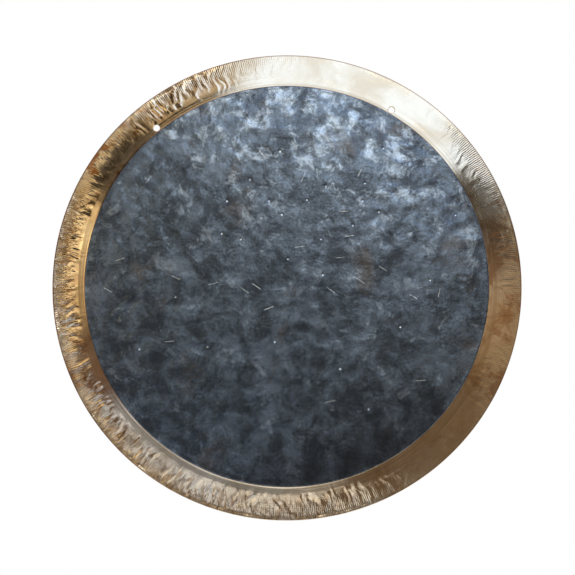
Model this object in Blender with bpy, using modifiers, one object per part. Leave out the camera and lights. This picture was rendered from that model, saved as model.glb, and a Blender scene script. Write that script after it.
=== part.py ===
"""A feng gong: one thin disc of forged bronze, dished a little, hung upright from two cord holes.

The disc is turned and drilled lying face up, with its axis on +Z and the middle of its face at z = 0.
Its frame then hangs it: the struck face looks along -Y, +Z is up, and the world's origin is midway between
the two cord holes, at half the wall's depth, where the cord carries the weight. Lengths are in metres.
"""

import math

import bpy

# Plate
PLATE_RADIUS = 0.280
WALL = 0.0016
EDGE_ROUNDING = 0.0005

# Face, from the middle outwards: dark dome, smooth band, hammered flange
DOME_RISE = 0.009  # height of the middle over the dome's border
RIM_WIDTH = 0.039  # lathed rim, from the dome's border to the edge
BAND_WIDTH = 0.0115  # smooth inner part of the rim
BAND_SLOPE = math.radians(6)
FLANGE_SLOPE = math.radians(9)
LATHE_CUT = 0.00015  # metal that the lathe takes off the rim, on each face
LATHE_RAMP = 0.0004  # width over which that cut runs out

# Cord holes
HOLE_RADIUS = 0.00375
HOLE_INSET = 0.005  # from the dome's border out to a hole's centre
HOLE_ANGLE = math.radians(35.1)  # from straight up to either hole, round the disc
COUNTERSINK = 0.0004
DRILL_REACH = 0.001  # how far the drill's shape runs past each face

# How finely round stretches are divided
TURN_STEPS = 96
DRILL_STEPS = 24
DOME_POINTS = 10
ROUNDING_POINTS = 3

# Bronze of the lathed rim
BRONZE_COLOUR = (0.53, 0.36, 0.19, 1.0)
BRONZE_ROUGHNESS = 0.32

border_radius = PLATE_RADIUS - RIM_WIDTH
band_radius = border_radius + BAND_WIDTH
hole_circle = border_radius + HOLE_INSET
dome_sphere = (border_radius**2 + DOME_RISE**2) / (2 * DOME_RISE)
rim_wall = WALL - 2 * LATHE_CUT


def face_height(radius):
    """Height of the forged face: a shallow sphere out to the border, then two cones, each steeper."""
    on_dome = min(radius, border_radius)
    on_band = min(max(radius - border_radius, 0), BAND_WIDTH)
    on_flange = max(radius - band_radius, 0)
    fall = dome_sphere - math.sqrt(dome_sphere**2 - on_dome**2)
    return -fall - on_band * math.tan(BAND_SLOPE) - on_flange * math.tan(FLANGE_SLOPE)


# Height of the middle of the rim's wall where the cord holes go through
hole_depth = face_height(hole_circle) - LATHE_CUT - rim_wall / 2


def quarter_arc(centre, radius, start):
    """Points of a quarter circle that turns clockwise from the start angle."""
    angles = [start - math.pi / 2 * i / ROUNDING_POINTS for i in range(ROUNDING_POINTS + 1)]
    return [(centre[0] + radius * math.cos(a), centre[1] + radius * math.sin(a)) for a in angles]


def disc_profile():
    """The half section: out along the face, round the edge, and back along the rear to the axis."""
    dome = [border_radius * i / DOME_POINTS for i in range(DOME_POINTS + 1)]
    rim = [border_radius + LATHE_RAMP, band_radius]
    rounding = min(EDGE_ROUNDING, rim_wall / 2)
    edge_radius = PLATE_RADIUS - rounding
    edge_top = face_height(edge_radius) - LATHE_CUT
    front = [(r, face_height(r)) for r in dome]
    front += [(r, face_height(r) - LATHE_CUT) for r in rim]
    edge = quarter_arc((edge_radius, edge_top - rounding), rounding, math.pi / 2)
    edge += quarter_arc((edge_radius, edge_top - rim_wall + rounding), rounding, 0)
    rear = [(r, face_height(r) - LATHE_CUT - rim_wall) for r in reversed(rim)]
    rear += [(r, face_height(r) - WALL) for r in reversed(dome)]
    return front + edge + rear


def drill_profile():
    """The half section of a drill through the rim's wall, flared at both faces into a countersink."""
    face = rim_wall / 2
    depth = min(COUNTERSINK, face)
    top = face + DRILL_REACH
    upper = [(0, top), (HOLE_RADIUS + depth + DRILL_REACH, top), (HOLE_RADIUS, face - depth)]
    lower = [(radius, -height) for radius, height in reversed(upper)]
    return upper + lower


def new_collection(name):
    collection = bpy.data.collections.new(name)
    bpy.context.scene.collection.children.link(collection)
    return collection


def turned(name, profile, steps, collection):
    """A solid of revolution about its own Z axis, from (radius, height) points."""
    mesh = bpy.data.meshes.new(name)
    points = [(radius, 0, height) for radius, height in profile]
    mesh.from_pydata(points, [(i, i + 1) for i in range(len(points) - 1)], [])
    body = bpy.data.objects.new(name, mesh)
    collection.objects.link(body)
    screw = body.modifiers.new("turn", "SCREW")
    screw.steps = steps
    screw.render_steps = steps
    screw.use_merge_vertices = True
    screw.merge_threshold = 0.00001
    return body


def finish(body, colour, roughness, metallic):
    material = bpy.data.materials.new(body.name)
    material.use_nodes = True
    shader = material.node_tree.nodes["Principled BSDF"]
    shader.inputs["Base Color"].default_value = colour
    shader.inputs["Roughness"].default_value = roughness
    shader.inputs["Metallic"].default_value = metallic
    body.data.materials.append(material)


def hung_frame(collection):
    """The empty that stands the disc's frame on edge, with the hang point at the world's origin."""
    frame = bpy.data.objects.new("disc_frame", None)
    frame.location = (0, hole_depth, -hole_circle * math.cos(HOLE_ANGLE))
    frame.rotation_euler = (math.pi / 2, 0, 0)
    collection.objects.link(frame)
    return frame


def drill_cord_hole(disc, name, angle, collection):
    """Drills the rim square to its slope, at an angle counted round the disc from straight up."""
    drill = turned(name, drill_profile(), DRILL_STEPS, collection)
    drill.parent = disc.parent
    drill.location = (hole_circle * math.sin(angle), hole_circle * math.cos(angle), hole_depth)
    drill.rotation_euler = (0, BAND_SLOPE, math.pi / 2 - angle)
    drill.hide_render = True
    drill.display_type = "WIRE"
    cut = disc.modifiers.new(name, "BOOLEAN")
    cut.object = drill


def main():
    for old in list(bpy.data.objects):
        bpy.data.objects.remove(old)
    parts = new_collection("feng_gong")
    cutters = new_collection("cutters")
    disc = turned("gong_disc", disc_profile(), TURN_STEPS, parts)
    disc.parent = hung_frame(parts)
    finish(disc, BRONZE_COLOUR, BRONZE_ROUGHNESS, metallic=1.0)
    for side, angle in (("left", -HOLE_ANGLE), ("right", HOLE_ANGLE)):
        drill_cord_hole(disc, f"{side}_cord_hole", angle, cutters)


main()
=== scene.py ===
"""Looks of a feng gong: a hammered centre under dark fire scale, and a bright lathed and hammered rim.

Both pieces are worked out in the disc's own frame, where the disc lies face up about +Z with the middle of
its face at z = 0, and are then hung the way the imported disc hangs. Lengths are in metres.
"""

import math

import bmesh
import bpy
import numpy as np
from mathutils import Matrix, Vector


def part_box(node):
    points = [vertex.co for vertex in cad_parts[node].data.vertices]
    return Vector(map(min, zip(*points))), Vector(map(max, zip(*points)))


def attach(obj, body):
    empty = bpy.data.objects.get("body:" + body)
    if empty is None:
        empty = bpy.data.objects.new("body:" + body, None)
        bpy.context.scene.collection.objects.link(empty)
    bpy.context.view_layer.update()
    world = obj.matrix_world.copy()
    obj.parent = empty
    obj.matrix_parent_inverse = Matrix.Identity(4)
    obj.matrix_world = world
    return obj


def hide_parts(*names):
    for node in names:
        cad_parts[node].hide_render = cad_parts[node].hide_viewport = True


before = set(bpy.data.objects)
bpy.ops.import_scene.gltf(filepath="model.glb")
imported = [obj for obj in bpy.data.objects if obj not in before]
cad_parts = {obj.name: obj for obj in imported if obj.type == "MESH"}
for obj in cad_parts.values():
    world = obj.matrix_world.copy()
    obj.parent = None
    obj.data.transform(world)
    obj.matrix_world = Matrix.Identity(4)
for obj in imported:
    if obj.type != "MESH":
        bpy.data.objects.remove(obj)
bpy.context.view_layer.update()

# Plate, as in the solid
WALL = 0.0016
DOME_RISE = 0.009
RIM_WIDTH = 0.039
BAND_WIDTH = 0.0115
BAND_SLOPE = math.radians(6)
FLANGE_SLOPE = math.radians(9)
LATHE_CUT = 0.00015
LATHE_RAMP = 0.0004
EDGE_ROUNDING = 0.0005
HOLE_RADIUS = 0.00375
HOLE_INSET = 0.005
HOLE_ANGLE = math.radians(35.1)
COUNTERSINK = 0.0004

disc_low, disc_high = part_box("gong_disc")
PLATE_RADIUS = (disc_high.x - disc_low.x) / 2
DISC_MIDDLE = (disc_low.z + disc_high.z) / 2

border_radius = PLATE_RADIUS - RIM_WIDTH
band_radius = border_radius + BAND_WIDTH
hole_circle = border_radius + HOLE_INSET
dome_sphere = (border_radius**2 + DOME_RISE**2) / (2 * DOME_RISE)
rim_wall = WALL - 2 * LATHE_CUT


def face_height(radius):
    """Height of the forged face: a shallow sphere out to the border, then two cones, each steeper."""
    on_dome = np.minimum(radius, border_radius)
    on_band = np.clip(radius - border_radius, 0, BAND_WIDTH)
    on_flange = np.maximum(radius - band_radius, 0)
    fall = dome_sphere - np.sqrt(dome_sphere**2 - on_dome**2)
    return -fall - on_band * math.tan(BAND_SLOPE) - on_flange * math.tan(FLANGE_SLOPE)


hole_depth = float(face_height(hole_circle)) - LATHE_CUT - rim_wall / 2
hang = Matrix.Translation((0, hole_depth, DISC_MIDDLE)) @ Matrix.Rotation(math.pi / 2, 4, "X")


def smooth(low, high, value):
    """Rises smoothly from 0 at low to 1 at high: 3t squared less 2t cubed of the clipped share t."""
    t = np.clip((value - low) / (high - low), 0, 1)
    return t * t * (3 - 2 * t)


MERGE_DISTANCE = 0.00001  # points nearer than this count as one
WAVE_LENGTHS = (0.7, 1.5)  # shortest and longest wave, over the size asked for


def waves(x, y, size, count, seed):
    """Rolling unevenness: the sum of many plane sine waves of about one length in random directions,
    divided by the square root of their number."""
    rng = np.random.default_rng(seed)
    total = np.zeros_like(x)
    for _ in range(count):
        turn, phase = rng.uniform(0, 2 * math.pi, 2)
        length = size * rng.uniform(*WAVE_LENGTHS)
        total += np.sin(2 * math.pi * (x * math.cos(turn) + y * math.sin(turn)) / length + phase)
    return total / math.sqrt(count)


PATCH_ROWS = 64


def patches(along, across, round_count, seed):
    """Smooth noise from -1 to 1 on unit squares: random corner values blended across each square, where
    `along` closes on itself after round_count squares."""
    rng = np.random.default_rng(seed)
    corner = rng.uniform(-1, 1, (PATCH_ROWS, round_count))
    i, j = np.floor(along).astype(int), np.floor(across).astype(int)
    s, t = along - i, across - j
    s, t = s * s * (3 - 2 * s), t * t * (3 - 2 * t)
    left, right = i % round_count, (i + 1) % round_count
    under, over = j % PATCH_ROWS, (j + 1) % PATCH_ROWS
    near = corner[under, left] * (1 - s) + corner[under, right] * s
    far = corner[over, left] * (1 - s) + corner[over, right] * s
    return near * (1 - t) + far * t


def piece_from(name, points, faces, material):
    """A shaded mesh of these points and faces, hung in place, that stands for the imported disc."""
    mesh = bpy.data.meshes.new(name)
    mesh.from_pydata(points, [], faces)
    mesh.transform(hang)
    mesh.validate()
    mesh.shade_smooth()
    mesh.materials.append(material)
    piece = bpy.data.objects.new(name, mesh)
    bpy.context.scene.collection.objects.link(piece)
    return piece


# How the photograph frames the disc, in its 575 pixel frame
FRAME_PIXELS = 575
MIDDLE_PIXEL = (286.8, 287.4)
OUTLINE_HALF_WIDTH = 235.2  # pixels from the middle of the disc to its edge
LEAN = math.radians(4.4)  # how far the disc hangs turned anticlockwise in the photograph


def on_disc(pixel):
    """Where a pixel of the photograph lies on the disc: scaled to metres and turned back by the lean."""
    scale = PLATE_RADIUS / OUTLINE_HALF_WIDTH
    across, up = (pixel[0] - MIDDLE_PIXEL[0]) * scale, (MIDDLE_PIXEL[1] - pixel[1]) * scale
    return (
        across * math.cos(LEAN) + up * math.sin(LEAN),
        up * math.cos(LEAN) - across * math.sin(LEAN),
    )


# The dark centre
CENTRE_RINGS = 112
BORDER_CALM = 0.004  # how far in from the border the forging starts
HAMMER_BLOWS = 1300
BLOW_LENGTH = (0.006, 0.017)
BLOW_WIDTH = (0.5, 0.9)  # over its length
BLOW_STEEPNESS = (0.012, 0.030)  # depth over length
BLOW_LEAN = 0.7  # the most that a blow's depth grows towards one end
BITE_DEPTH = 0.00009
BITE_DRAW = (-1.2, 1.0)  # share of that depth; a draw below 0 leaves no bite
BITE_PLACE = 0.85  # share of the way from a blow's middle to its edge
BITE_WIDTH = 0.12
BLOW_REACH = 1.3  # over its length
PLANISHING = 0.00002
PLANISHING_WAVE = 0.0055
PLANISHING_WAVES = 24
PLANISHING_BASE = 2.5  # in its own depths
ROLL_DEPTH = 0.00012
ROLL_WAVE = 0.07
ROLL_WAVES = 12
BACK_SHARE = 0.8  # depth of the forging on the back, over that on the face

# Seeds of the random draws
FRONT_SEED = 7
BACK_SEED = 8
ROLL_SEED = 3
MARK_SEED = 17

# Peen pits, and short straight nicks with their turn in degrees: pixels in the photograph
PITS = [(250, 181), (326, 188), (269, 203), (307, 202), (365, 185), (363, 203), (353, 228), (282, 217)]
PITS += [(222, 236), (321, 242), (288, 262), (323, 278), (430, 283), (227, 203), (280, 152), (456, 217)]
PITS += [(384, 149), (379, 214), (155, 132), (176, 300), (208, 350), (275, 345), (368, 412), (241, 242)]
PITS += [(400, 330), (340, 372), (140, 352)]
NICKS = [(340, 261, 8), (245, 294, -35), (256.5, 290, -35), (331, 294, -35), (269, 312, 20)]
NICKS += [(349.5, 239, 6), (211, 243, -58), (176, 281, -25), (170, 345, 3), (108, 293, -30)]
NICKS += [(360, 284, -35), (383, 272, -32), (413, 300, -30), (439, 296, 75), (344, 214, 2)]
NICKS += [(303, 180, 68), (262, 155, -50), (269, 152, -55), (360, 175, 62), (300, 250, 10)]
NICKS += [(214, 287, 15), (330, 405, 12), (420, 384, 4), (120, 262, 18)]
PIT_RADIUS = 0.0023
PIT_DEPTH = 0.0003
PIT_SIZE = (0.75, 1.15)
# Painted shade: how dark the upper part of each pit is painted
PIT_PAINTED_SHADE = 0.6
# Painted highlight: how bright the lip below each pit is painted
LIP_PAINTED_HIGHLIGHT = 1.3
LIP_DROP = 0.4  # how far below the pit's middle the painted highlight on its lip lies, over the pit's radius
LIP_RADIUS = 0.55  # over the pit's radius
NICK_LENGTH = 0.011
NICK_WIDTH = 0.0009
NICK_DEPTH = 0.00015
NICK_SIZE = (0.5, 1.2)
PIT_REACH = 0.0034  # how far round a pit the mesh is made finer
NICK_REACH = 0.6 * PIT_REACH


def pit_places():
    return [on_disc(pixel) for pixel in PITS]


def nick_ends():
    """Both ends of each nick, on the disc."""
    ends = []
    for across, down, degrees in NICKS:
        x, y = on_disc((across, down))
        turn = math.radians(degrees) - LEAN
        along = (math.cos(turn) * NICK_LENGTH / 2, math.sin(turn) * NICK_LENGTH / 2)
        ends.append(((x - along[0], y - along[1]), (x + along[0], y + along[1])))
    return ends


def from_line(x, y, start, end):
    """Distance of each point from a straight line between two ends."""
    along = np.subtract(end, start)
    share = ((x - start[0]) * along[0] + (y - start[1]) * along[1]) / (along @ along)
    share = np.clip(share, 0, 1)
    return np.hypot(x - start[0] - share * along[0], y - start[1] - share * along[1])


def near_marks(x, y):
    """Whether each point lies within reach of a pit or a nick."""
    near = np.zeros(len(x), bool)
    for place in pit_places():
        near |= np.hypot(x - place[0], y - place[1]) < PIT_REACH
    for start, end in nick_ends():
        near |= from_line(x, y, start, end) < NICK_REACH
    return near


def split_near_marks(x, y, faces):
    """Every edge of a triangle near a mark gets a middle point, unless it lies on the border. A triangle
    with three such points becomes four triangles, one with two becomes three, and one with one two."""
    near = near_marks(x[faces].mean(1), y[faces].mean(1))
    sides = np.sort(np.stack([faces, np.roll(faces, -1, 1)], 2), 2).reshape(-1, 2)
    edges, edge_of_side = np.unique(sides, axis=0, return_inverse=True)
    edge_of_side = edge_of_side.reshape(-1, 3)
    split = np.zeros(len(edges), bool)
    split[edge_of_side[near]] = True
    on_border = np.hypot(x, y) > border_radius - MERGE_DISTANCE
    split &= ~on_border[edges].all(1)
    middle = np.where(split, len(x) + np.cumsum(split) - 1, -1)[edge_of_side]
    x = np.append(x, x[edges[split]].mean(1))
    y = np.append(y, y[edges[split]].mean(1))
    parts = [faces[(middle < 0).all(1)]]
    a, b, c = faces.T
    ab, bc, ca = middle.T
    three = (middle >= 0).all(1)
    corners = [(a, ab, ca), (ab, b, bc), (ca, bc, c), (ab, bc, ca)]
    parts += [np.stack(triangle, 1)[three] for triangle in corners]
    for first in range(3):
        a, b, c = np.roll(faces, -first, 1).T
        ab, bc, ca = np.roll(middle, -first, 1).T
        one = (ab >= 0) & (bc < 0) & (ca < 0)
        two = (ab >= 0) & (bc >= 0) & (ca < 0)
        parts += [np.stack(triangle, 1)[one] for triangle in [(a, ab, c), (ab, b, c)]]
        parts += [np.stack(triangle, 1)[two] for triangle in [(ab, b, bc), (a, ab, bc), (a, bc, c)]]
    return x, y, np.concatenate(parts)


def disc_points(rings):
    """Points of a disc of triangles: the middle, then 6k points spread evenly round ring k."""
    ring = np.repeat(np.arange(1, rings + 1), 6 * np.arange(1, rings + 1))
    first = 3 * ring * (ring - 1)
    turn = (np.arange(len(ring)) - first) / (6 * ring) * 2 * math.pi
    radius = border_radius * ring / rings
    x = np.concatenate([[0], radius * np.cos(turn)])
    y = np.concatenate([[0], radius * np.sin(turn)])
    return x, y


def disc_faces(rings):
    """Triangles between ring k - 1 and ring k, by sixths with k outward ones and k - 1 inward ones."""
    faces = []
    for k in range(1, rings + 1):
        outer, inner = 1 + 3 * k * (k - 1), max(1 + 3 * (k - 1) * (k - 2), 0)
        sixth, step = np.divmod(np.arange(6 * k), k)
        on_outer, on_inner = sixth * k + step, sixth * (k - 1) + step
        around = max(6 * (k - 1), 1)
        a = outer + on_outer
        b = outer + (on_outer + 1) % (6 * k)
        c = inner + on_inner % around
        faces.append(np.stack([a, b, c], 1))
        inside = step > 0
        d = inner + (on_inner[inside] - 1) % around
        faces.append(np.stack([a[inside], c[inside], d], 1))
    return np.concatenate(faces)


def hammering(x, y, seed):
    """Depth of the forging: each blow is an oval dish, deeper at one end, and the deepest blow at a point
    wins; some blows also bite with one edge, in a narrow crescent."""
    rng = np.random.default_rng(seed)
    depth, bites = np.zeros_like(x), np.zeros_like(x)
    for _ in range(HAMMER_BLOWS):
        radius = border_radius * math.sqrt(rng.uniform(0, 1))
        place, turn = rng.uniform(0, 2 * math.pi, 2)
        length = rng.uniform(*BLOW_LENGTH)
        width = length * rng.uniform(*BLOW_WIDTH)
        deep = length * rng.uniform(*BLOW_STEEPNESS)
        lean = rng.uniform(-BLOW_LEAN, BLOW_LEAN)
        bite = BITE_DEPTH * max(rng.uniform(*BITE_DRAW), 0)
        dx, dy = x - radius * math.cos(place), y - radius * math.sin(place)
        near = np.flatnonzero(np.hypot(dx, dy) < length * BLOW_REACH)
        dx, dy = dx[near], dy[near]
        along = (dx * math.cos(turn) + dy * math.sin(turn)) / length
        across = (dy * math.cos(turn) - dx * math.sin(turn)) / width
        out = np.hypot(along, across)
        depth[near] = np.maximum(depth[near], deep * (1 - out**2) * (1 + lean * along))
        crescent = np.exp(-(((out - BITE_PLACE) / BITE_WIDTH) ** 2)) * smooth(0.2, 0.8, along)
        bites[near] = np.maximum(bites[near], bite * crescent)
    return depth + bites


def marks(x, y):
    """Depth of the peen pits, round with a soft bottom, and of the nicks, narrow and V-shaped. With it
    comes a share for the colour: above 0 along a nick, where the scale is worn off, and on the lip below a
    pit, where a painted highlight lies; below 0 in the pit's upper part, where painted shade lies."""
    depth, worn = np.zeros_like(x), np.zeros_like(x)
    rng = np.random.default_rng(MARK_SEED)
    for place in pit_places():
        size = rng.uniform(*PIT_SIZE)
        across, up = x - place[0], y - place[1]
        out = np.hypot(across, up) / (PIT_RADIUS * size)
        hollow = (1 - out**2).clip(0) ** 1.5
        depth = np.maximum(depth, PIT_DEPTH * size * hollow)
        # A painted highlight on the lip below the pit
        from_lip = np.hypot(across, up + LIP_DROP * PIT_RADIUS) / (LIP_RADIUS * PIT_RADIUS * size)
        # Painted shade over the pit's upper part
        painted_pit_shade = PIT_PAINTED_SHADE * hollow * (up > -0.1 * PIT_RADIUS)
        worn = worn - painted_pit_shade + LIP_PAINTED_HIGHLIGHT * (1 - from_lip).clip(0)
    for start, end in nick_ends():
        size = rng.uniform(*NICK_SIZE)
        groove = (1 - from_line(x, y, start, end) / (NICK_WIDTH / 2)).clip(0)
        depth = np.maximum(depth, NICK_DEPTH * size * groove)
        worn = np.maximum(worn, size * groove)
    return depth, worn


def forging(x, y, seed):
    """Depth of the hammering and the fine planishing over it, which both fade out at the border."""
    calm = smooth(border_radius, border_radius - BORDER_CALM, np.hypot(x, y))
    fine = waves(x, y, PLANISHING_WAVE, PLANISHING_WAVES, seed + 1)
    return calm * (hammering(x, y, seed) + PLANISHING * (PLANISHING_BASE + fine).clip(0))


def dark_centre(material):
    """The forged middle: both faces follow the dome, less the forging, and a wall closes them at the
    border."""
    x, y = disc_points(CENTRE_RINGS)
    faces = disc_faces(CENTRE_RINGS)
    front_x, front_y, front_faces = split_near_marks(*split_near_marks(x, y, faces))
    radius = np.hypot(front_x, front_y)
    rolling = waves(front_x, front_y, ROLL_WAVE, ROLL_WAVES, ROLL_SEED)
    roll = ROLL_DEPTH * (1 + rolling / 2).clip(0)
    pressed, worn = marks(front_x, front_y)
    front = face_height(radius) - forging(front_x, front_y, FRONT_SEED) - pressed
    front -= roll * smooth(border_radius, border_radius - BORDER_CALM, radius)
    back = face_height(np.hypot(x, y)) - WALL + forging(x, y, BACK_SEED) * BACK_SHARE
    points = np.concatenate([np.stack([front_x, front_y, front], 1), np.stack([x, y, back], 1)])
    shift = len(front_x)
    here = np.arange(len(x) - 6 * CENTRE_RINGS, len(x))
    after = np.roll(here, -1)
    wall = [np.stack([here, here + shift, after + shift], 1), np.stack([here, after + shift, after], 1)]
    everything = np.concatenate([front_faces, faces[:, ::-1] + shift, *wall])
    piece = piece_from("dark_centre", points, everything, material)
    # Wear along the nicks, painted highlights on the pits' lips and painted shade in the pits
    wear_and_pit_light_layer = piece.data.attributes.new("worn", "FLOAT", "POINT")
    wear_and_pit_light_layer.data.foreach_set("value", np.concatenate([worn, np.zeros(len(x))]))
    return piece


# The lathed rim
RIM_COLUMNS = 1920
BAND_ROWS = 9
FLANGE_ROWS = 26
BACK_ROWS = 6
EDGE_ROWS = 4
EDGE_SUPPORT = 0.00015  # how near to the rounded edge the flange's last row but one runs


def rim_profile():
    """Radius and height along the rim's section: the face, the rounded edge and the back. The inner wall
    closes it, from the last point to the first."""
    rounding = min(EDGE_ROUNDING, rim_wall / 2)
    edge_radius = PLATE_RADIUS - rounding
    band = np.linspace(border_radius + LATHE_RAMP, band_radius, BAND_ROWS)
    flange = np.linspace(band_radius, edge_radius - EDGE_SUPPORT, FLANGE_ROWS)[1:]
    front = np.concatenate([band, flange, [edge_radius]])
    rear = np.linspace(edge_radius, border_radius + LATHE_RAMP, BACK_ROWS)
    top = float(face_height(edge_radius)) - LATHE_CUT - rounding
    bottom = float(face_height(edge_radius)) - LATHE_CUT - rim_wall + rounding
    arc = np.linspace(math.pi / 2, 0, EDGE_ROWS)[1:]
    out, rise = edge_radius + rounding * np.cos(arc), rounding * np.sin(arc)
    edge = [top + rise, bottom - rise[::-1]]
    border = float(face_height(border_radius))
    face, back = face_height(front) - LATHE_CUT, face_height(rear) - LATHE_CUT - rim_wall
    radius = np.concatenate([[border_radius], front, out, out[::-1], rear, [border_radius]])
    height = np.concatenate([[border], face, *edge, back, [border - WALL]])
    return radius, height


# How strongly the flange is hammered, by degrees clockwise from the hang point
WORKED = [(0, 0.12), (54, 0.12), (58, 0.2), (74, 0.15), (150, 0.15), (160, 0.5), (172, 1.0)]
WORKED += [(240, 1.0), (247, 0.6), (256, 0.6), (264, 1.0), (296, 1.0), (301, 0.35), (319, 0.35)]
WORKED += [(326, 1.0), (340, 1.0), (350, 0.25)]
RIPPLE_DEPTH = 0.00060
BROAD_DEPTH = 0.00030
# Patches of the relief: weight, how many round the rim, how many across it, their start, their seed
DRIFTS = [(0.6, 150, 3.0, 0, 31), (0.5, 60, 2.0, 0, 32)]
RIPPLES = [(1.2, 460, 3.4, 0, 33), (0.7, 280, 3.9, 7, 34), (0.4, 130, 2.2, 3, 35)]
RIPPLE_BENDS = [2.4, 1.5, 0.0]  # how far the drifts carry each kind of ripple, in its own lengths
GROUPS = [(1.0, 70, 1.5, 0, 36)]
UNEVENNESS = [(0.3, 36, 1.2, 0, 37), (0.2, 80, 1.6, 0, 38)]
# Where the relief fades in and out, as shares of the rim's width from the border outwards
FLANGE_FADES = [(0.18, 0.42), (1.0, 0.86)]
RIM_FADES = [(0.02, 0.15), (1.0, 0.9)]
BROAD_FADES = [(0.28, 0.5), (1.0, 0.75)]
BAND_RIPPLE = 0.1  # depth of the ripples on the band, over that on the flange
GROUP_LEAST = 0.6  # depth of the ripples between two groups, over that within one


def faded(out, fades):
    """1 in the middle of a stretch of the rim, and 0 beyond the fades at its two ends."""
    return smooth(*fades[0], out) * smooth(*fades[1], out)


def rim_relief(radius, turn):
    """Depth of the rim's working: wavy radial ripples of three lengths on the flange, in groups and
    stronger where it was hammered more, over a broad unevenness."""
    clock = (90 - np.degrees(turn)) % 360
    worked = np.interp(clock, *zip(*WORKED), period=360)
    share = turn / (2 * math.pi)
    out = (radius - border_radius) / RIM_WIDTH

    def summed(kinds, drift=0.0, bends=(0.0, 0.0)):
        return sum(
            weight * patches(share * count + drift * bend, out * across + start, count, seed)
            for (weight, count, across, start, seed), bend in zip(kinds, bends)
        )

    ripple = summed(RIPPLES, summed(DRIFTS), RIPPLE_BENDS)
    grouped = GROUP_LEAST + (1 - GROUP_LEAST) * smooth(-0.45, 0.45, summed(GROUPS))
    present = faded(out, FLANGE_FADES) + BAND_RIPPLE * faded(out, RIM_FADES)
    broad = (0.5 + summed(UNEVENNESS)) * faded(out, BROAD_FADES)
    ripples = (1 + ripple * 0.5).clip(0) * present * grouped * worked
    return RIPPLE_DEPTH * ripples + BROAD_DEPTH * broad


def lathed_rim(material):
    """The rim: its closed section carried round the disc, pressed in on the front by the relief."""
    r, z = rim_profile()
    turn = np.arange(RIM_COLUMNS) / RIM_COLUMNS * 2 * math.pi
    radius, angle = np.meshgrid(r, turn, indexing="ij")
    height = np.repeat(z[:, None], RIM_COLUMNS, 1)
    is_front = np.arange(len(r)) <= BAND_ROWS + FLANGE_ROWS
    height = height - np.where(is_front[:, None], rim_relief(radius, angle), 0)
    points = np.stack([radius * np.cos(angle), radius * np.sin(angle), height], 2).reshape(-1, 3)
    row, column = np.meshgrid(np.arange(len(r)), np.arange(RIM_COLUMNS), indexing="ij")
    here = row * RIM_COLUMNS + column
    next_row = (row + 1) % len(r) * RIM_COLUMNS + column
    next_both = (row + 1) % len(r) * RIM_COLUMNS + (column + 1) % RIM_COLUMNS
    next_column = row * RIM_COLUMNS + (column + 1) % RIM_COLUMNS
    faces = np.stack([here, next_row, next_both, next_column], 2).reshape(-1, 4)
    return piece_from("lathed_rim", points, faces, material)


DRILL_REACH = 0.001  # how far the cutter runs past both faces
HOLE_SIDES = 48


def drill(piece, name, angle):
    """Cuts one countersunk cord hole, square to the sloping band, out of a piece."""
    face = rim_wall / 2
    past, widest = face + DRILL_REACH, HOLE_RADIUS + COUNTERSINK + DRILL_REACH
    half = [(0, past), (widest, past), (HOLE_RADIUS, face - COUNTERSINK)]
    levels = half + [(radius, -height) for radius, height in reversed(half)]
    mesh = bpy.data.meshes.new(name)
    build = bmesh.new()
    line = [build.verts.new((radius, 0, height)) for radius, height in levels]
    edges = [build.edges.new(pair) for pair in zip(line, line[1:])]
    around = {"angle": 2 * math.pi, "steps": HOLE_SIDES, "axis": (0, 0, 1), "cent": (0, 0, 0)}
    bmesh.ops.spin(build, geom=line + edges, **around)
    bmesh.ops.remove_doubles(build, verts=build.verts, dist=MERGE_DISTANCE)
    bmesh.ops.recalc_face_normals(build, faces=build.faces)
    build.to_mesh(mesh)
    build.free()
    place = (hole_circle * math.sin(angle), hole_circle * math.cos(angle), hole_depth)
    lean = Matrix.Rotation(math.pi / 2 - angle, 4, "Z") @ Matrix.Rotation(BAND_SLOPE, 4, "Y")
    mesh.transform(hang @ Matrix.Translation(place) @ lean)
    cutter = bpy.data.objects.new(name, mesh)
    bpy.context.scene.collection.objects.link(cutter)
    cut = piece.modifiers.new(name, "BOOLEAN")
    cut.object = cutter
    return cutter


def settle(piece, cutters):
    """Makes the cut mesh the piece's own, and clears the cutters away."""
    bpy.context.view_layer.update()
    cut = bpy.data.meshes.new_from_object(piece.evaluated_get(bpy.context.evaluated_depsgraph_get()))
    piece.modifiers.clear()
    piece.data = cut
    for cutter in cutters:
        bpy.data.objects.remove(cutter)


class Link:
    """A node's output that can be worked with like a number: each operator adds a Math node."""

    def __init__(self, tree, socket):
        self.tree, self.socket = tree, socket

    def math(self, operation, *others):
        values = {0: self, **dict(enumerate(others, 1))}
        return self.tree.node("ShaderNodeMath", {"operation": operation}, values)

    def __add__(self, other):
        return self.math("ADD", other)

    def __mul__(self, other):
        return self.math("MULTIPLY", other)

    def __sub__(self, other):
        return self.math("SUBTRACT", other)

    def __rsub__(self, other):
        return self.math("MULTIPLY_ADD", -1.0, other)

    def __truediv__(self, other):
        return self.math("DIVIDE", other)

    __radd__, __rmul__ = __add__, __mul__


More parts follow.
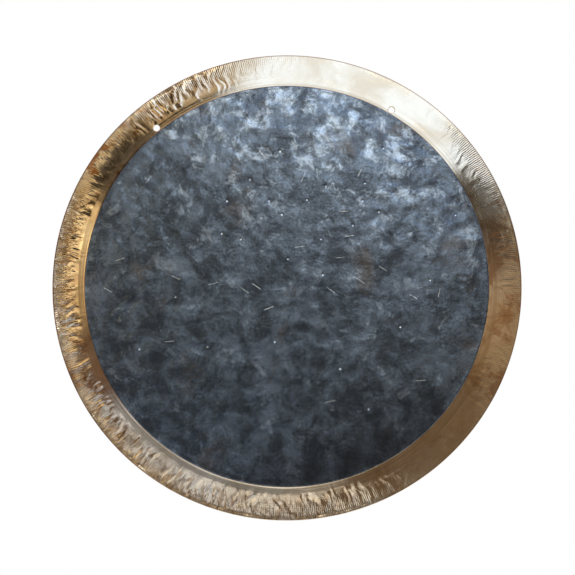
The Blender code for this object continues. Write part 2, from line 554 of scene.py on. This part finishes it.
class Tree:
    """A node tree: one method makes any node from its type, its settings and the values or links of its
    sockets, and the others name what this script makes often."""

    def __init__(self, owner):
        owner.use_nodes = True
        self.nodes, self.links = owner.node_tree.nodes, owner.node_tree.links
        self.nodes.clear()

    def node(self, kind, settings=None, values=None, output=0):
        made = self.nodes.new(kind)
        for name, value in (settings or {}).items():
            if name == "stops":
                self.set_stops(made.color_ramp.elements, value)
            else:
                setattr(made, name, value)
        for key, value in (values or {}).items():
            if isinstance(value, Link):
                self.links.new(value.socket, made.inputs[key])
            else:
                made.inputs[key].default_value = value
        return Link(self, made.outputs[output]) if made.outputs else made

    def set_stops(self, elements, stops):
        """Puts stops given as (share, (red, green, blue)) in the place of the two that a new ramp has."""
        for position, colour in sorted(stops):
            elements.new(position).color = (*colour, 1.0)
        elements.remove(elements[0])
        elements.remove(elements[-1])

    def ramp(self, value, low, high, bottom=0.0, top=1.0):
        """Rises smoothly from bottom at low to top at high."""
        values = {"Value": value, "From Min": low, "From Max": high, "To Min": bottom, "To Max": top}
        return self.node("ShaderNodeMapRange", {"interpolation_type": "SMOOTHSTEP"}, values)

    def noise(self, place, scale, detail=4.0, roughness=0.55, distortion=0.0):
        values = {"Vector": place, "Scale": scale, "Detail": detail, "Roughness": roughness}
        values["Distortion"] = distortion
        return self.node("ShaderNodeTexNoise", {}, values)

    def mix(self, share, first, second, blend="MIX"):
        """A colour between two, where 6 and 7 are the Mix node's two colour sockets."""
        values = {"Factor": share, 6: first, 7: second}
        return self.node("ShaderNodeMix", {"data_type": "RGBA", "blend_type": blend}, values, output=2)

    def joined(self, x, y, z=0.0):
        return self.node("ShaderNodeCombineXYZ", {}, {0: x, 1: y, 2: z})

    def by_degrees(self, angle, stops):
        """A colour for each angle, blended between stops given as (degrees, colour), where degrees run
        clockwise from straight up."""
        turned = [((degrees / 360 + 0.5) % 1, colour) for degrees, colour in stops]
        return self.node("ShaderNodeValToRGB", {"stops": turned}, {0: angle * (0.5 / math.pi) + 0.5})

    def share_by_degrees(self, angle, stops):
        """The same with shares in the place of colours."""
        return self.by_degrees(angle, [(degrees, (share,) * 3) for degrees, share in stops])

    def parts(self, vector):
        return [self.node("ShaderNodeSeparateXYZ", {}, {0: vector}, output=i) for i in range(3)]


def linear(red, green, blue):
    """A colour given as screen values from 0 to 255, as the renderer's own values."""
    return tuple((value / 255) ** 2.2 for value in (red, green, blue)) + (1.0,)


def centred(tree):
    """Object coordinates moved so that the disc's middle is at zero."""
    place = tree.node("ShaderNodeTexCoord", output="Object")
    return tree.node("ShaderNodeMapping", {}, {"Vector": place, "Location": (0, 0, -DISC_MIDDLE)})


# Colours of the dark centre, as screen values
SCALE_DARK = linear(66, 71, 77)
SCALE_PALE = linear(108, 118, 128)
# Pale scale, which also serves as painted light in the wisps towards the upper right
SCALE_WISP_AND_SHEEN = linear(170, 181, 190)
SCALE_STAIN = linear(104, 92, 80)
# Painted shade towards the bottom of the dome
LOW_PAINTED_SHADE = linear(44, 43, 43)
# Painted shade in the upper part of the pits
PIT_SHADE_COLOUR = linear(34, 35, 37)
# Bare metal along the nicks, and the painted highlight on the lips below the pits
BARE_METAL_AND_HIGHLIGHT = linear(206, 206, 200)


def fire_scale():
    """Blue-grey oxide over bronze, cloudy at three sizes: pale wisps, made paler and more frequent towards
    the upper right as painted light, brown stains, painted shade darkening towards the bottom, bare metal
    along the nicks, and a painted highlight on the lip below each pit with painted shade in its upper
    part.
    It is satin, with a fine grain."""
    material = bpy.data.materials.new("fire_scale")
    tree = Tree(material)
    place = centred(tree)
    across, _, up = tree.parts(place)
    cloud = tree.noise(place, scale=9, detail=5, roughness=0.6, distortion=0.6)
    patch = tree.noise(place, scale=42, detail=7, roughness=0.66, distortion=0.5)
    grain = tree.noise(place, scale=420, detail=4, roughness=0.6)
    tone = cloud * 0.25 + patch * 0.5 + grain * 0.25
    colour = tree.mix(tree.ramp(tone, 0.41, 0.60), SCALE_DARK, SCALE_PALE)
    # Painted light: the wisps grow paler and more frequent towards the upper right, where the dome faces
    # the light
    painted_light_upper = tree.ramp(up * 0.95 + across * 0.3, 0.0, 0.24)
    wisps = tree.noise(place, scale=38, detail=8, roughness=0.72, distortion=0.4)
    wisp_and_sheen = tree.ramp(wisps, 0.57 - painted_light_upper * 0.12, 0.64)
    colour = tree.mix(wisp_and_sheen * (0.3 + painted_light_upper * 0.65), colour, SCALE_WISP_AND_SHEEN)
    stain = tree.ramp(tree.noise(place, scale=16, detail=5, roughness=0.6, distortion=0.5), 0.56, 0.72)
    colour = tree.mix(stain * 0.45, colour, SCALE_STAIN)
    # Painted shade: the scale darkens towards the bottom, where the dome faces away from the light
    painted_shade_low = tree.ramp(up * 0.95 - across * 0.25, -0.14, -0.24)
    colour = tree.mix(painted_shade_low * 0.65, colour, LOW_PAINTED_SHADE)
    worn = tree.node("ShaderNodeAttribute", {"attribute_name": "worn"}, output="Fac")
    # Painted shade in the upper part of each pit
    colour = tree.mix(tree.ramp(worn, 0.0, -PIT_PAINTED_SHADE) * 0.8, colour, PIT_SHADE_COLOUR)
    # Bare metal along the nicks, and a painted highlight on the lip below each pit
    colour = tree.mix(tree.ramp(worn, 0.05, 0.6) * 0.85, colour, BARE_METAL_AND_HIGHLIGHT)
    fine = tree.noise(place, scale=150, detail=5, roughness=0.6)
    coarse = tree.noise(place, scale=62, detail=3, roughness=0.5, distortion=0.8)
    height = grain * 0.25 + fine * 0.6 + coarse * 1.2
    bump = tree.node("ShaderNodeBump", {}, {"Strength": 0.5, "Distance": 0.0006, "Height": height})
    values = {"Base Color": colour, "Roughness": 0.17 + patch * 0.16, "Metallic": 0.9, "Normal": bump}
    shader = tree.node("ShaderNodeBsdfPrincipled", {}, values)
    tree.node("ShaderNodeOutputMaterial", {}, {"Surface": shader})
    return material


# How deep the flange's radial scoring is, by degrees clockwise from the hang point
HATCHED = [(0, 0.2), (53, 0.2), (57, 0.9), (63, 0.9), (67, 0.2), (160, 0.2), (170, 0.9), (244, 0.9)]
HATCHED += [(250, 0.4), (262, 1.0), (300, 1.0), (304, 0.6), (345, 0.6), (350, 0.3)]
# How much brown is painted in patches: partly real tarnish, partly painted reflection of the brown and
# dark parts of the mirrored room
TARNISH_AND_PAINTED_REFLECTION = [(0, 0.0), (60, 0.0), (80, 0.6), (122, 0.6), (128, 0.1), (150, 0.1), (158, 0.4), (168, 0.1)]
TARNISH_AND_PAINTED_REFLECTION += [(240, 0.15), (248, 0.7), (262, 0.6), (270, 0.25), (298, 0.15), (302, 1.0), (320, 0.9)]
TARNISH_AND_PAINTED_REFLECTION += [(326, 0.35), (345, 0.2), (350, 0.0)]
# How brown the oxide at the rim's two borders is
BROWNED = [(0, 0.7), (60, 0.6), (150, 0.3), (170, 0.1), (215, 0.15), (240, 0.9), (335, 0.9)]

# Colours of the rim, as screen values
BRONZE_DEEP = linear(206, 182, 148)
BRONZE_PALE = linear(224, 205, 176)
BRONZE_TURNED = linear(176, 150, 118)
# Brown of the patches: tarnish, and painted reflection of the room's brown and dark parts
TARNISH_AND_REFLECTION_BROWN = linear(158, 108, 66)
EDGE_OXIDE = linear(120, 72, 38)
SEAM_OXIDE = linear(150, 92, 44)
VALLEY_OXIDE = linear(150, 116, 80)

# How close the fine working of the rim lies
FINE_RINGS = 900  # per metre
BROAD_RINGS = 380
HATCH_SPACING = 0.0024
RIPPLE_SPACING = 0.0058
RIPPLE_LENGTH = 0.013


def lathed_bronze():
    """Bright bronze: turned in fine rings, scored and rippled across the flange with brown in the ripples'
    valleys, browned in patches that are partly tarnish and partly painted reflection, and with a brown
    oxide line along both borders."""
    material = bpy.data.materials.new("lathed_bronze")
    tree = Tree(material)
    place = centred(tree)
    x, _, z = tree.parts(place)
    radius = (x * x + z * z).math("SQRT")
    angle = x.math("ARCTAN2", z)
    band = tree.ramp(radius, band_radius + 0.002, band_radius - 0.002)
    flange = tree.ramp(radius, band_radius - 0.002, band_radius + 0.005)
    outer = tree.ramp(radius, band_radius + 0.006, PLATE_RADIUS - 0.008)
    edge = tree.ramp(radius, PLATE_RADIUS - 0.0018, PLATE_RADIUS - 0.0006)
    seam = tree.ramp(radius, border_radius + 0.0012, border_radius + 0.0003)
    worked = tree.share_by_degrees(angle, WORKED)
    browned = tree.share_by_degrees(angle, BROWNED)

    cloud = tree.noise(place, scale=14, detail=4, roughness=0.6, distortion=0.5)
    fine_turning = tree.joined(radius * FINE_RINGS, angle * 1.5)
    rings = tree.noise(fine_turning, scale=1.0, detail=3, roughness=0.7)
    broad_turning = tree.joined(radius * BROAD_RINGS, angle * 0.8)
    turned = tree.noise(broad_turning, scale=1.0, detail=2, roughness=0.6)
    flecks = tree.noise(place, scale=300, detail=4, roughness=0.6)
    wander = tree.noise(place, scale=90, detail=3, roughness=0.6) * 9.0
    hatch = (angle * (2 * math.pi * PLATE_RADIUS / HATCH_SPACING) + wander).math("SINE")
    hatch = hatch * outer * tree.share_by_degrees(angle, HATCHED)
    along_rim = tree.joined(angle * (PLATE_RADIUS / RIPPLE_SPACING), radius / RIPPLE_LENGTH)
    ripples = tree.noise(along_rim, scale=1.0, detail=2, roughness=0.5, distortion=0.9)
    height = rings * (0.7 - band * 0.5) + turned * band * 0.3 + flecks * (0.2 - band * 0.1)
    height = height + hatch * 0.5 + ripples * flange * worked * 3.0

    colour = tree.mix(tree.ramp(cloud, 0.35, 0.65), BRONZE_DEEP, BRONZE_PALE)
    # Patches by degrees: partly tarnish, partly painted reflection where the mirrored room is brown or
    # dark
    tarnish_and_reflection = tree.noise(place, scale=34, detail=5, roughness=0.65, distortion=0.4)
    tarnish_and_reflection = tree.ramp(tarnish_and_reflection, 0.47, 0.62) * tree.share_by_degrees(angle, TARNISH_AND_PAINTED_REFLECTION)
    colour = tree.mix(tarnish_and_reflection, colour, TARNISH_AND_REFLECTION_BROWN)
    colour = tree.mix(edge * browned, colour, EDGE_OXIDE)
    colour = tree.mix(seam * browned * 0.7, colour, SEAM_OXIDE)
    colour = tree.mix(tree.ramp(turned, 0.45, 0.62) * band * 0.45, colour, BRONZE_TURNED)
    valley = tree.ramp(ripples, 0.52, 0.38) * flange * tree.ramp(worked, 0.5, 1.0)
    colour = tree.mix(valley * 0.6, colour, VALLEY_OXIDE)

    bump = tree.node("ShaderNodeBump", {}, {"Strength": 0.6, "Distance": 0.0002, "Height": height})
    roughness = 0.07 + cloud * 0.1 - band * 0.04
    values = {"Base Color": colour, "Roughness": roughness, "Metallic": 1.0, "Normal": bump}
    shader = tree.node("ShaderNodeBsdfPrincipled", {}, values)
    tree.node("ShaderNodeOutputMaterial", {}, {"Surface": shader})
    return material


# What the rim mirrors, laid in a ring by degrees clockwise from straight up, in the way that the
# photograph shows it on the disc: a tall window from 350 round to 57, a dim room to 167, pale ground to
# 239, a brown corner to 262, a lit warm wall to 297, a dark gap to 322, and a duller wall up to the window
WINDOW = (1.3, 1.62, 2.2)
SURROUNDINGS = [
    (0, WINDOW),
    (57.5, WINDOW),
    (59, (0.09, 0.09, 0.09)),
    (78, (0.09, 0.085, 0.08)),
    (86, (0.24, 0.185, 0.14)),
    (96, (0.50, 0.41, 0.32)),
    (110, (0.36, 0.26, 0.16)),
    (124, (0.213, 0.164, 0.119)),
    (150, (0.184, 0.141, 0.105)),
    (167, (0.184, 0.145, 0.115)),
    (173, (0.90, 0.92, 0.98)),
    (190, (0.94, 1.02, 1.15)),
    (212, (0.72, 0.80, 0.98)),
    (239, (0.68, 0.78, 1.00)),
    (245, (0.16, 0.11, 0.09)),
    (262, (0.20, 0.14, 0.10)),
    (270, (0.95, 0.75, 0.45)),
    (280, (1.00, 0.78, 0.50)),
    (290, (1.85, 1.65, 1.15)),
    (297, (1.10, 0.90, 0.58)),
    (299.5, (0.035, 0.03, 0.025)),
    (322, (0.035, 0.03, 0.025)),
    (326, (0.58, 0.48, 0.34)),
    (347, (0.72, 0.62, 0.46)),
    (349.5, WINDOW),
]
# How bright they are further in, where the smooth band looks, over how bright they are further out
INNER_SHARE = [(0, 1.0), (165, 1.0), (172, 0.42), (184, 0.34), (200, 0.28), (214, 0.40), (242, 0.55)]
INNER_SHARE += [(248, 1.6), (264, 0.75), (272, 0.48), (290, 0.50), (296, 0.75), (300, 4.5), (320, 4.0)]
INNER_SHARE += [(325, 0.05), (346, 0.08), (349, 1.0)]
# What the dome mirrors, by the tangent of the rise above its middle view: dim below, bright at the window
AHEAD = [
    (-0.30, (0.02, 0.02, 0.017)),
    (-0.17, (0.10, 0.097, 0.09)),
    (-0.11, (0.33, 0.325, 0.31)),
    (-0.04, (0.38, 0.375, 0.365)),
    (0.0, (0.31, 0.31, 0.31)),
    (0.05, (0.37, 0.37, 0.36)),
    (0.10, (0.72, 0.72, 0.70)),
    (0.15, (1.9, 1.9, 1.8)),
    (0.20, (4.2, 4.2, 3.9)),
    (0.25, (7.5, 7.5, 7.0)),
]
AHEAD_REACH = 0.35
AHEAD_LEAN = math.radians(18)  # how far to the right of straight up the dome's brightest view lies
LOOK_RISE = 0.13  # tangent of the rise of the view that the middle of the disc mirrors
LEAST_DEPTH = 0.05  # keeps the tangents finite for looks along the disc
# Tangents of the angle from that view at which one part of the room gives way to the next
DOME_ENDS = (0.235, 0.255)
BAND_ENDS = (0.37, 0.33)
CLUTTER_STARTS = (0.34, 0.40)
RING_ENDS = (0.9, 1.6)
WINDOW_BLUE = (1.6, 1.3)  # the blue above which the ring is window, and below which it is cluttered room
FAR_LOW = (0.30, 0.28, 0.26, 1)
FAR_HIGH = (0.75, 0.77, 0.80, 1)
BEHIND_GREY = (0.9, 0.9, 0.9, 1)
WHITE = (1, 1, 1, 1)


def studio_world():
    """White where the camera looks past the object, and where a mirror would show that white. The half in
    front of the disc is the room that it mirrors: the view ahead for the dome, the surroundings in a ring
    round that for the rim, and plain light further out."""
    world = bpy.data.worlds.new("studio")
    bpy.context.scene.world = world
    tree = Tree(world)
    across, away, up = tree.parts(tree.node("ShaderNodeTexCoord", output="Generated"))
    depth = (away * -1.0).math("MAXIMUM", LEAST_DEPTH)
    side, rise = across / depth, up / depth - LOOK_RISE
    reach = (side * side + rise * rise).math("SQRT")
    angle = side.math("ARCTAN2", rise)

    ring = tree.by_degrees(angle, SURROUNDINGS)
    inner_share = tree.share_by_degrees(angle, INNER_SHARE)
    ring = tree.mix(tree.ramp(reach, *BAND_ENDS), ring, inner_share, "MULTIPLY")
    blue = tree.node("ShaderNodeSeparateColor", {}, {0: ring}, output="Blue")
    cluttered = tree.ramp(reach, *CLUTTER_STARTS) * tree.ramp(blue, *WINDOW_BLUE)
    things = tree.noise(tree.joined(side, rise), scale=12, detail=3, roughness=0.6)
    clutter = tree.ramp(things, 0.38, 0.62, 0.35, 1.6) * cluttered + (1 - cluttered)
    ring = tree.mix(1.0, ring, tree.joined(clutter, clutter, clutter), "MULTIPLY")

    slant = rise * math.cos(AHEAD_LEAN) + side * math.sin(AHEAD_LEAN)
    share = (slant + AHEAD_REACH) * (0.5 / AHEAD_REACH)
    stops = [((level + AHEAD_REACH) * 0.5 / AHEAD_REACH, colour) for level, colour in AHEAD]
    ahead = tree.node("ShaderNodeValToRGB", {"stops": stops}, {0: share})

    lit = tree.mix(tree.ramp(reach, *DOME_ENDS), ahead, ring)
    far = tree.mix(tree.ramp(up, -0.5, 0.8), FAR_LOW, FAR_HIGH)
    lit = tree.mix(tree.ramp(reach, *RING_ENDS), lit, far)
    behind = tree.ramp(away, -0.15, 0.15)
    lit = tree.mix(behind, lit, BEHIND_GREY)
    camera, glossy, through = (
        tree.node("ShaderNodeLightPath", output=name)
        for name in ("Is Camera Ray", "Is Glossy Ray", "Is Transmission Ray")
    )
    seen = tree.mix(camera + (glossy + through) * behind, lit, WHITE)
    background = tree.node("ShaderNodeBackground", {}, {"Color": seen, "Strength": 1.0})
    tree.node("ShaderNodeOutputWorld", {}, {"Surface": background})


# Camera: how far off and how high it stands, and where it looks from the disc's middle
CAMERA_DISTANCE = 3.0
CAMERA_ELEVATION = math.radians(-7.5)
AIM_SIDE = 0.0006
AIM_RISE = -0.0038
SENSOR_WIDTH = 36.0  # millimetres


def aim_camera():
    """The photograph's camera: low, looking up at the disc a little, and turned about its own axis."""
    data = bpy.data.cameras.new("camera")
    data.sensor_width = SENSOR_WIDTH
    data.lens = SENSOR_WIDTH * OUTLINE_HALF_WIDTH / FRAME_PIXELS * CAMERA_DISTANCE / PLATE_RADIUS
    camera = bpy.data.objects.new("camera", data)
    bpy.context.scene.collection.objects.link(camera)
    away = Vector((0, -math.cos(CAMERA_ELEVATION), math.sin(CAMERA_ELEVATION)))
    middle = Vector((AIM_SIDE, (disc_low.y + disc_high.y) / 2, DISC_MIDDLE + AIM_RISE))
    turn = away.to_track_quat("Z", "Y").to_matrix().to_4x4() @ Matrix.Rotation(-LEAN, 4, "Z")
    camera.matrix_world = Matrix.Translation(middle + away * CAMERA_DISTANCE) @ turn
    bpy.context.scene.camera = camera


FLOOR_DROP = 0.95
FLOOR_SIZE = 3.0
FLOOR_COLOUR = (0.86, 0.86, 0.85, 1)


def lay_floor():
    """A plain pale floor, well below the hung disc."""
    mesh = bpy.data.meshes.new("floor")
    reach, level = FLOOR_SIZE / 2, DISC_MIDDLE - FLOOR_DROP
    corners = [(-reach, -reach), (reach, -reach), (reach, reach), (-reach, reach)]
    mesh.from_pydata([(x, y, level) for x, y in corners], [], [(0, 1, 2, 3)])
    floor = bpy.data.objects.new("floor", mesh)
    bpy.context.scene.collection.objects.link(floor)
    material = bpy.data.materials.new("floor")
    tree = Tree(material)
    shader = tree.node("ShaderNodeBsdfDiffuse", {}, {"Color": FLOOR_COLOUR})
    tree.node("ShaderNodeOutputMaterial", {}, {"Surface": shader})
    mesh.materials.append(material)


LAMP_PLACE = Vector((0.6, -1.6, 1.5))  # from the disc's middle
LAMP_SIZE = 1.2
LAMP_POWER = 45
LAMP_COLOUR = (1.0, 0.99, 0.97)


def hang_lamp():
    """A soft square lamp that faces the disc from above right."""
    data = bpy.data.lights.new("key", "AREA")
    data.size = LAMP_SIZE
    data.energy = LAMP_POWER
    data.color = LAMP_COLOUR
    lamp = bpy.data.objects.new("key", data)
    bpy.context.scene.collection.objects.link(lamp)
    turn = LAMP_PLACE.to_track_quat("Z", "Y").to_matrix().to_4x4()
    lamp.matrix_world = Matrix.Translation(Vector((0, 0, DISC_MIDDLE)) + LAMP_PLACE) @ turn
    lamp.visible_glossy = False


def main():
    centre, rim = dark_centre(fire_scale()), lathed_rim(lathed_bronze())
    settle(rim, [drill(rim, "left_hole", -HOLE_ANGLE), drill(rim, "right_hole", HOLE_ANGLE)])
    for piece in (centre, rim):
        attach(piece, "root")
        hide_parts("gong_disc")
    studio_world()
    aim_camera()
    lay_floor()
    hang_lamp()
    bpy.context.scene.view_settings.view_transform = "Standard"


main()
